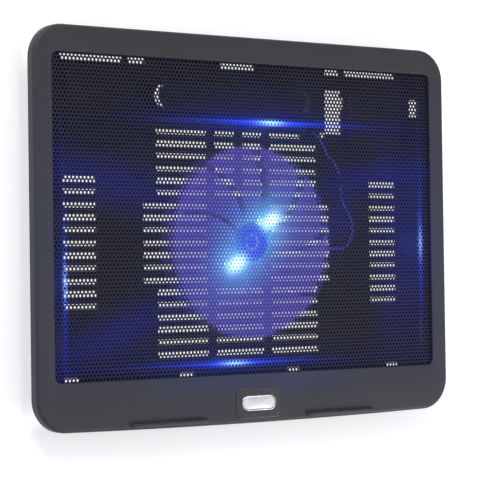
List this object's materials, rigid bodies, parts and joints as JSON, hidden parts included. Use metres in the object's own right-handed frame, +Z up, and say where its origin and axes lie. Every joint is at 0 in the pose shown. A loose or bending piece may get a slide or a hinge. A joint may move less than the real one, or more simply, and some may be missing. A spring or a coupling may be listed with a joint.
{
  "type": "notebook cooling pad",
  "caption": "Flat notebook cooling pad: framed perforated steel top, large slim lit fan in a slotted tray base, front stops and flip-out rear legs.",
  "frame": {"origin": "on the ground, under the middle of the pad's outline", "axes": "+X to the pad's right, along its long side; +Y to the rear, away from the user; +Z up"},
  "size_m": [0.33, 0.252, 0.025],
  "materials": {
    "frame_plastic": "fine matte grain, charcoal",
    "shell_plastic": "matte black",
    "sheet_steel": "satin black paint on perforated steel",
    "blade_plastic": "clear tinted blue-violet, glossy",
    "steel": "bright",
    "ferrite": "dull dark grey plastic-bonded ferrite",
    "lamination": "dull stacked sheet",
    "copper": "enamelled copper winding",
    "bronze": "sintered bronze",
    "board": "green lacquered circuit board",
    "led_epoxy": "clear lens, lit blue-white",
    "lead_sleeve": "black flexible sleeve",
    "rubber": "black, non-slip",
    "screw_steel": "blackened",
    "badge_gloss": "mirror-gloss black",
    "badge_chrome": "polished",
    "badge_silver": "satin silver, blank"
  },
  "bodies": {
    "base": {"top_frame": "frame_plastic", "mesh_panel": "sheet_steel", "bottom_shell": "shell_plastic", "stator_core": "lamination", "coil_1": "copper", "coil_2": "copper", "coil_3": "copper", "coil_4": "copper", "bearing_sleeve": "bronze", "motor_base": "shell_plastic", "motor_board": "board", "led_1": "led_epoxy", "led_2": "led_epoxy", "fan_lead": "lead_sleeve", "cable_gland": "rubber", "leg_pin_left": "steel", "leg_pin_right": "steel", "foot_front_left": "rubber", "foot_front_right": "rubber", "foot_rear_left": "rubber", "foot_rear_right": "rubber", "casing_screw_1": "screw_steel", "casing_screw_2": "screw_steel", "casing_screw_3": "screw_steel", "casing_screw_4": "screw_steel", "casing_screw_5": "screw_steel", "casing_screw_6": "screw_steel", "casing_screw_7": "screw_steel", "casing_screw_8": "screw_steel", "motor_screw_1": "screw_steel", "motor_screw_2": "screw_steel", "motor_screw_3": "screw_steel", "badge_plate": "badge_gloss", "badge_ring": "badge_chrome", "badge_face": "badge_silver"},
    "fan": {"fan_rotor": "blade_plastic", "rotor_yoke": "steel", "magnet_ring": "ferrite", "motor_shaft": "steel", "shaft_clip": "steel"},
    "leg_left": {"rear_leg_left": "frame_plastic", "leg_pad_left_a": "rubber", "leg_pad_left_b": "rubber"},
    "leg_right": {"rear_leg_right": "frame_plastic", "leg_pad_right_a": "rubber", "leg_pad_right_b": "rubber"}
  },
  "joints": [
    {"name": "fan_spin", "type": "hinge", "parent": "base", "child": "fan", "pos_m": [0, -0.008, 0.012], "axis": [0, 0, 1], "continuous": true},
    {"name": "leg_left_flip", "type": "hinge", "parent": "base", "child": "leg_left", "pos_m": [-0.113, 0.099, 0.0048], "axis": [1, 0, 0], "range_deg": [0, 78]},
    {"name": "leg_right_flip", "type": "hinge", "parent": "base", "child": "leg_right", "pos_m": [0.113, 0.099, 0.0048], "axis": [1, 0, 0], "range_deg": [0, 78]}
  ]
}
